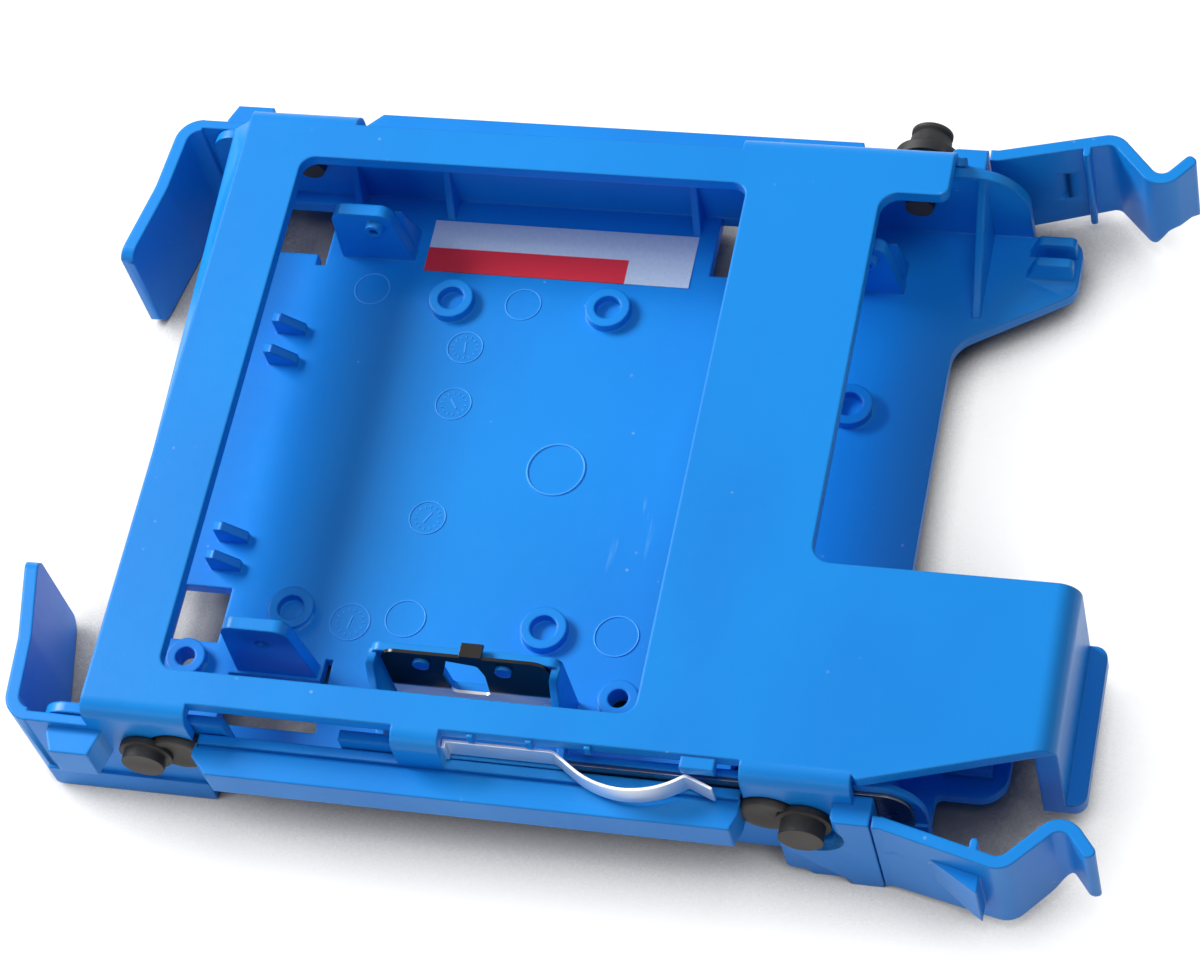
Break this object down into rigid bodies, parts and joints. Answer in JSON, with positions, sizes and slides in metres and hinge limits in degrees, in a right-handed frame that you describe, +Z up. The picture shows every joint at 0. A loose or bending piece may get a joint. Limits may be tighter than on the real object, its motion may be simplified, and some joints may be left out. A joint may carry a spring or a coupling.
{
  "type": "drive caddy",
  "caption": "Hot swap drive caddy: an open outer caddy with finger wings and squeeze-in release arms, holding an adapter tray for a smaller drive on rubber isolators.",
  "frame": {"origin": "centre of the bounding box in X and Y, at the height of the feet", "axes": "+X from the finger wings towards the release arms, the long way; +Y away from the viewer, across the caddy; +Z up, out of the top plate"},
  "size_m": [0.1606, 0.1228, 0.0245],
  "materials": {
    "caddy_plastic": "moulded blue plastic, semi-gloss",
    "tray_plastic": "moulded blue plastic, semi-gloss",
    "ground_steel": "thin sprung steel",
    "isolator_rubber": "matt dark rubber",
    "label": "plain printed foil without text"
  },
  "bodies": {
    "caddy": {"caddy_frame": "caddy_plastic", "adapter_tray": "tray_plastic", "ground_bracket": "ground_steel", "leaf_spring": "ground_steel", "ground_strip": "ground_steel", "blank_label": "label", "isolator_near_left": "isolator_rubber", "isolator_near_right": "isolator_rubber", "isolator_far_left": "isolator_rubber", "isolator_far_right": "isolator_rubber"},
    "arm_near": {"release_arm_near": "caddy_plastic"},
    "arm_far": {"release_arm_far": "caddy_plastic"}
  },
  "joints": [
    {"name": "near_arm_squeeze", "type": "hinge", "parent": "caddy", "child": "arm_near", "pos_m": [0.05015, -0.0546, 0.0103], "axis": [0, 0, 1], "range_deg": [0, 6], "stiffness_Nm_per_rad": 0.3},
    {"name": "far_arm_squeeze", "type": "hinge", "parent": "caddy", "child": "arm_far", "pos_m": [0.05015, 0.0546, 0.0103], "axis": [0, 0, -1], "range_deg": [0, 6], "stiffness_Nm_per_rad": 0.3}
  ]
}
